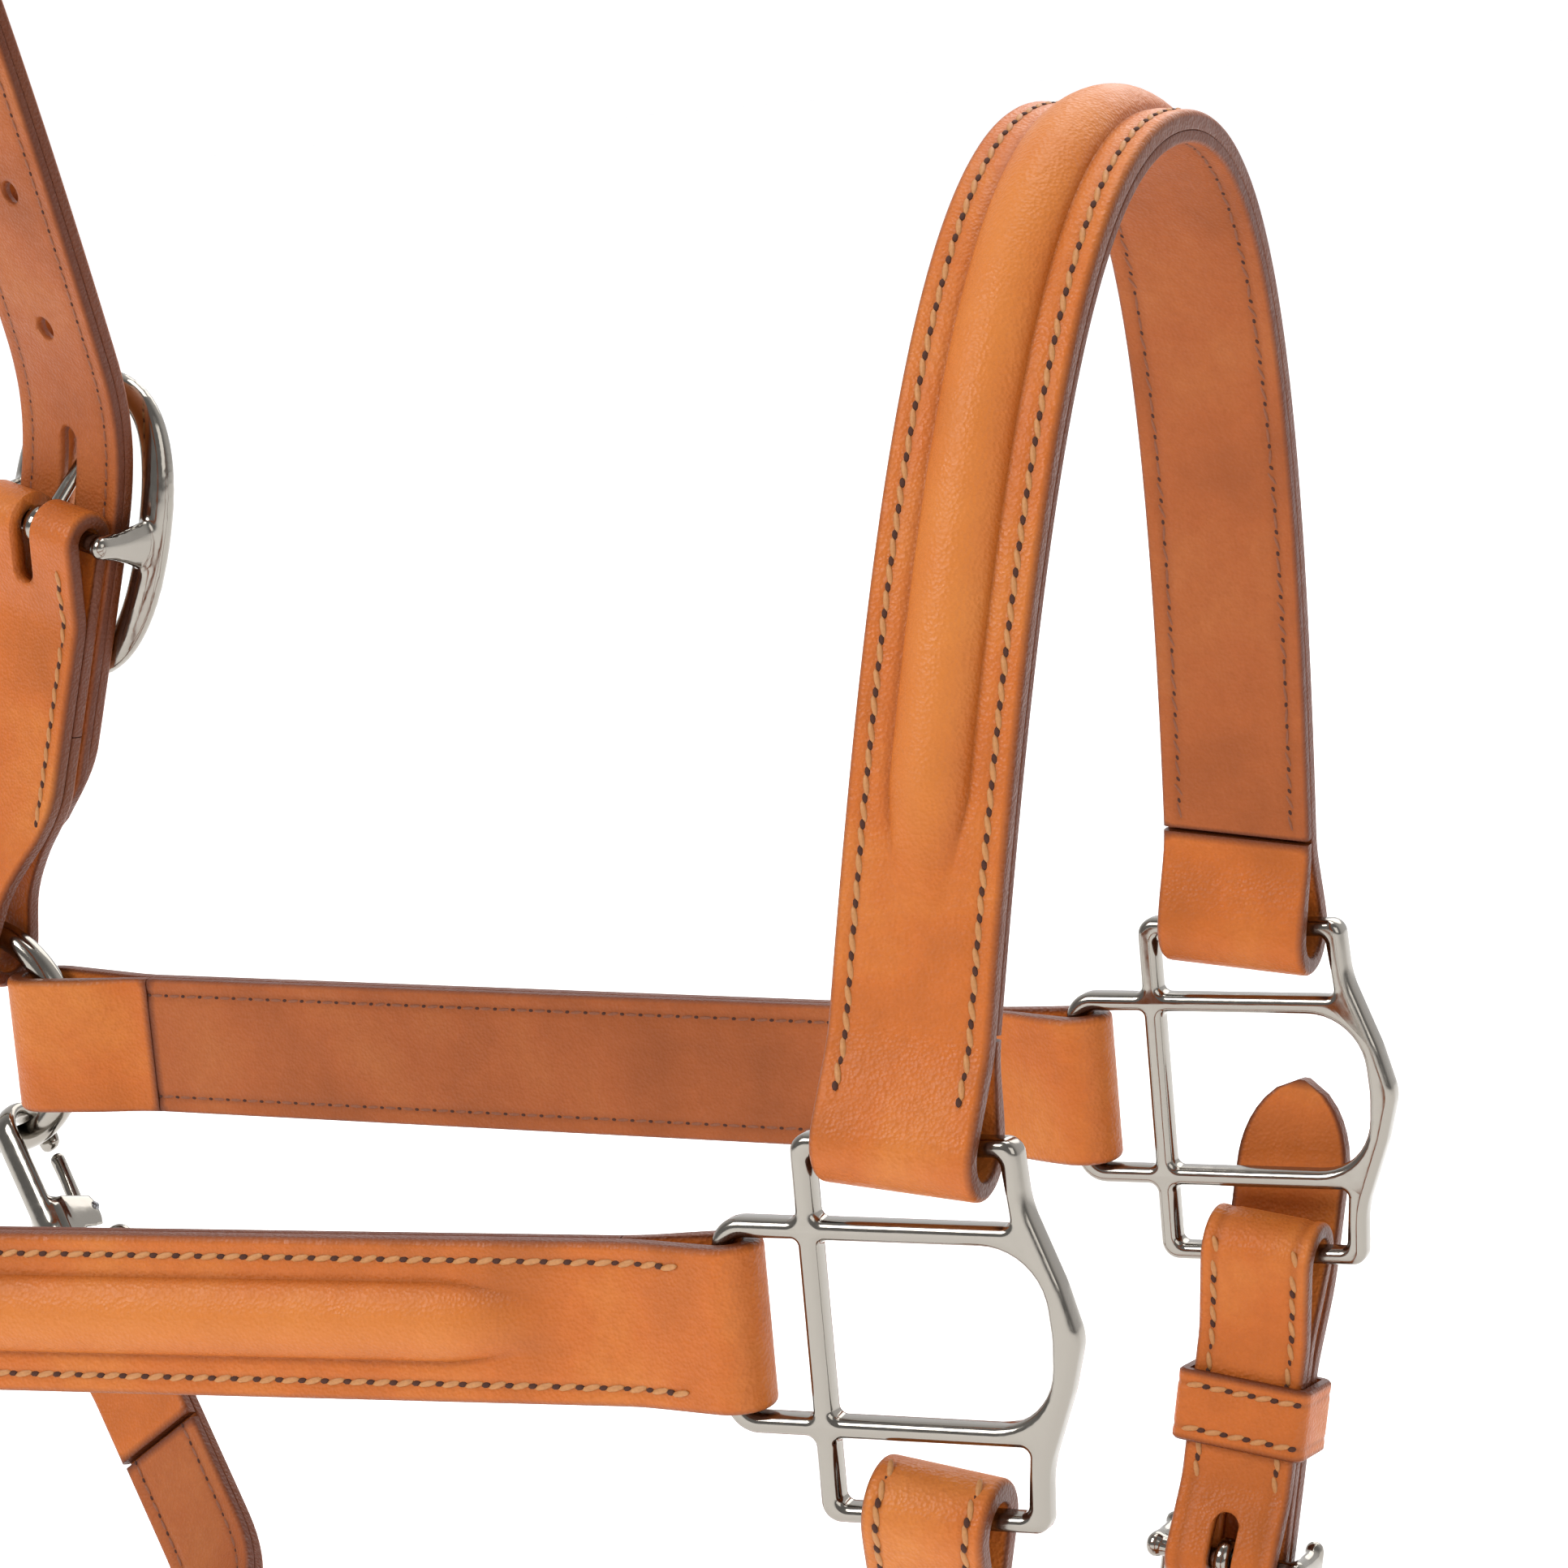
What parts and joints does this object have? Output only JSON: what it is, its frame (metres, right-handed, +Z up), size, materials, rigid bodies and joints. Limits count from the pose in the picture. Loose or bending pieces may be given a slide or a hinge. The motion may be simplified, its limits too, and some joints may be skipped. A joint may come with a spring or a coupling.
{
  "type": "leather headcollar",
  "caption": "Leather horse headcollar: raised noseband and cheeks on cast squares and rings, buckled crown, adjustable chin, snap throat.",
  "frame": {"origin": "the middle of the crown's underside, where it rests on the poll behind the ears", "axes": "+X points to the nose, +Y to the wearer's left side, +Z up"},
  "size_m": [0.3089, 0.1987, 0.4641],
  "materials": {
    "leather": "tan bridle leather, waxed grain side",
    "lining": "smooth lining leather",
    "filler": "rolled felt cord",
    "nickel": "polished nickel plate",
    "steel": "plain spring steel"
  },
  "bodies": {
    "root": {"crown_outer": "leather", "crown_lining": "lining", "crown_billet": "leather", "crown_buckle": "nickel", "throat_outer": "leather", "throat_lining": "lining", "snap_body": "nickel", "snap_pin": "steel", "snap_spring": "steel"},
    "ring_left": {"ring_left": "nickel"},
    "ring_right": {"ring_right": "nickel"},
    "crown_tongue": {"crown_tongue": "nickel"},
    "snap_lever": {"snap_lever": "nickel"},
    "cheek_left": {"cheek_left_outer": "leather", "cheek_left_lining": "lining", "cheek_left_filler": "filler"},
    "cheek_right": {"cheek_right_outer": "leather", "cheek_right_lining": "lining", "cheek_right_filler": "filler"},
    "nose": {"square_left": "nickel", "square_right": "nickel", "noseband_outer": "leather", "noseband_lining": "lining", "noseband_filler": "filler", "chin_strap": "leather", "chin_billet": "leather", "chin_buckle": "nickel", "jaw_strap": "leather"},
    "chin_tongue": {"chin_tongue": "nickel"},
    "chin_keeper": {"chin_keeper": "leather"},
    "lead_dee": {"lead_dee": "nickel"}
  },
  "joints": [
    {"name": "cheek_left_swing", "type": "hinge", "parent": "root", "child": "cheek_left", "pos_m": [0.01017, 0.08345, -0.306], "axis": [0, 0, 1], "range_deg": [-5, 5]},
    {"name": "cheek_right_swing", "type": "hinge", "parent": "root", "child": "cheek_right", "pos_m": [0.01017, -0.08345, -0.306], "axis": [0, 0, 1], "range_deg": [-5, 5]},
    {"name": "nose_swing", "type": "hinge", "parent": "cheek_left", "child": "nose", "pos_m": [0.2205, 0.068, -0.306], "axis": [0, 0, 1], "range_deg": [-6.2, 6.2]},
    {"name": "ring_left_spin", "type": "hinge", "parent": "root", "child": "ring_left", "pos_m": [-0.008, 0.086, -0.306], "axis": [0.1392, 0.9903, 0], "continuous": true},
    {"name": "ring_right_spin", "type": "hinge", "parent": "root", "child": "ring_right", "pos_m": [-0.008, -0.086, -0.306], "axis": [-0.1392, 0.9903, 0], "continuous": true},
    {"name": "crown_tongue_lift", "type": "hinge", "parent": "root", "child": "crown_tongue", "pos_m": [0.01705, 0.08584, -0.2102], "axis": [-0.9415, 0.2347, 0.2419], "range_deg": [0, 8]},
    {"name": "snap_lever_press", "type": "hinge", "parent": "root", "child": "snap_lever", "pos_m": [0.00952, 0.08355, -0.34037], "axis": [0.8192, 0, 0.5736], "range_deg": [0, 20], "stiffness_Nm_per_rad": 0.02, "springref_deg": -22.92},
    {"name": "chin_tongue_lift", "type": "hinge", "parent": "nose", "child": "chin_tongue", "pos_m": [0.24297, 0.05958, -0.38432], "axis": [0.9877, 0, -0.1564], "range_deg": [0, 8]},
    {"name": "chin_keeper_slide", "type": "slide", "parent": "nose", "child": "chin_keeper", "axis": [-0.1553, -0.1219, -0.9803], "range_m": [-0.003, 0.006]},
    {"name": "lead_dee_swing", "type": "hinge", "parent": "nose", "child": "lead_dee", "pos_m": [0.2046, 0, -0.43449], "axis": [0, 1, 0], "range_deg": [-60, 60]}
  ],
  "couplings": [
    {"joint": "cheek_right_swing", "follows": "cheek_left_swing", "ratio": 1},
    {"joint": "nose_swing", "follows": "cheek_left_swing", "ratio": -1.23}
  ]
}
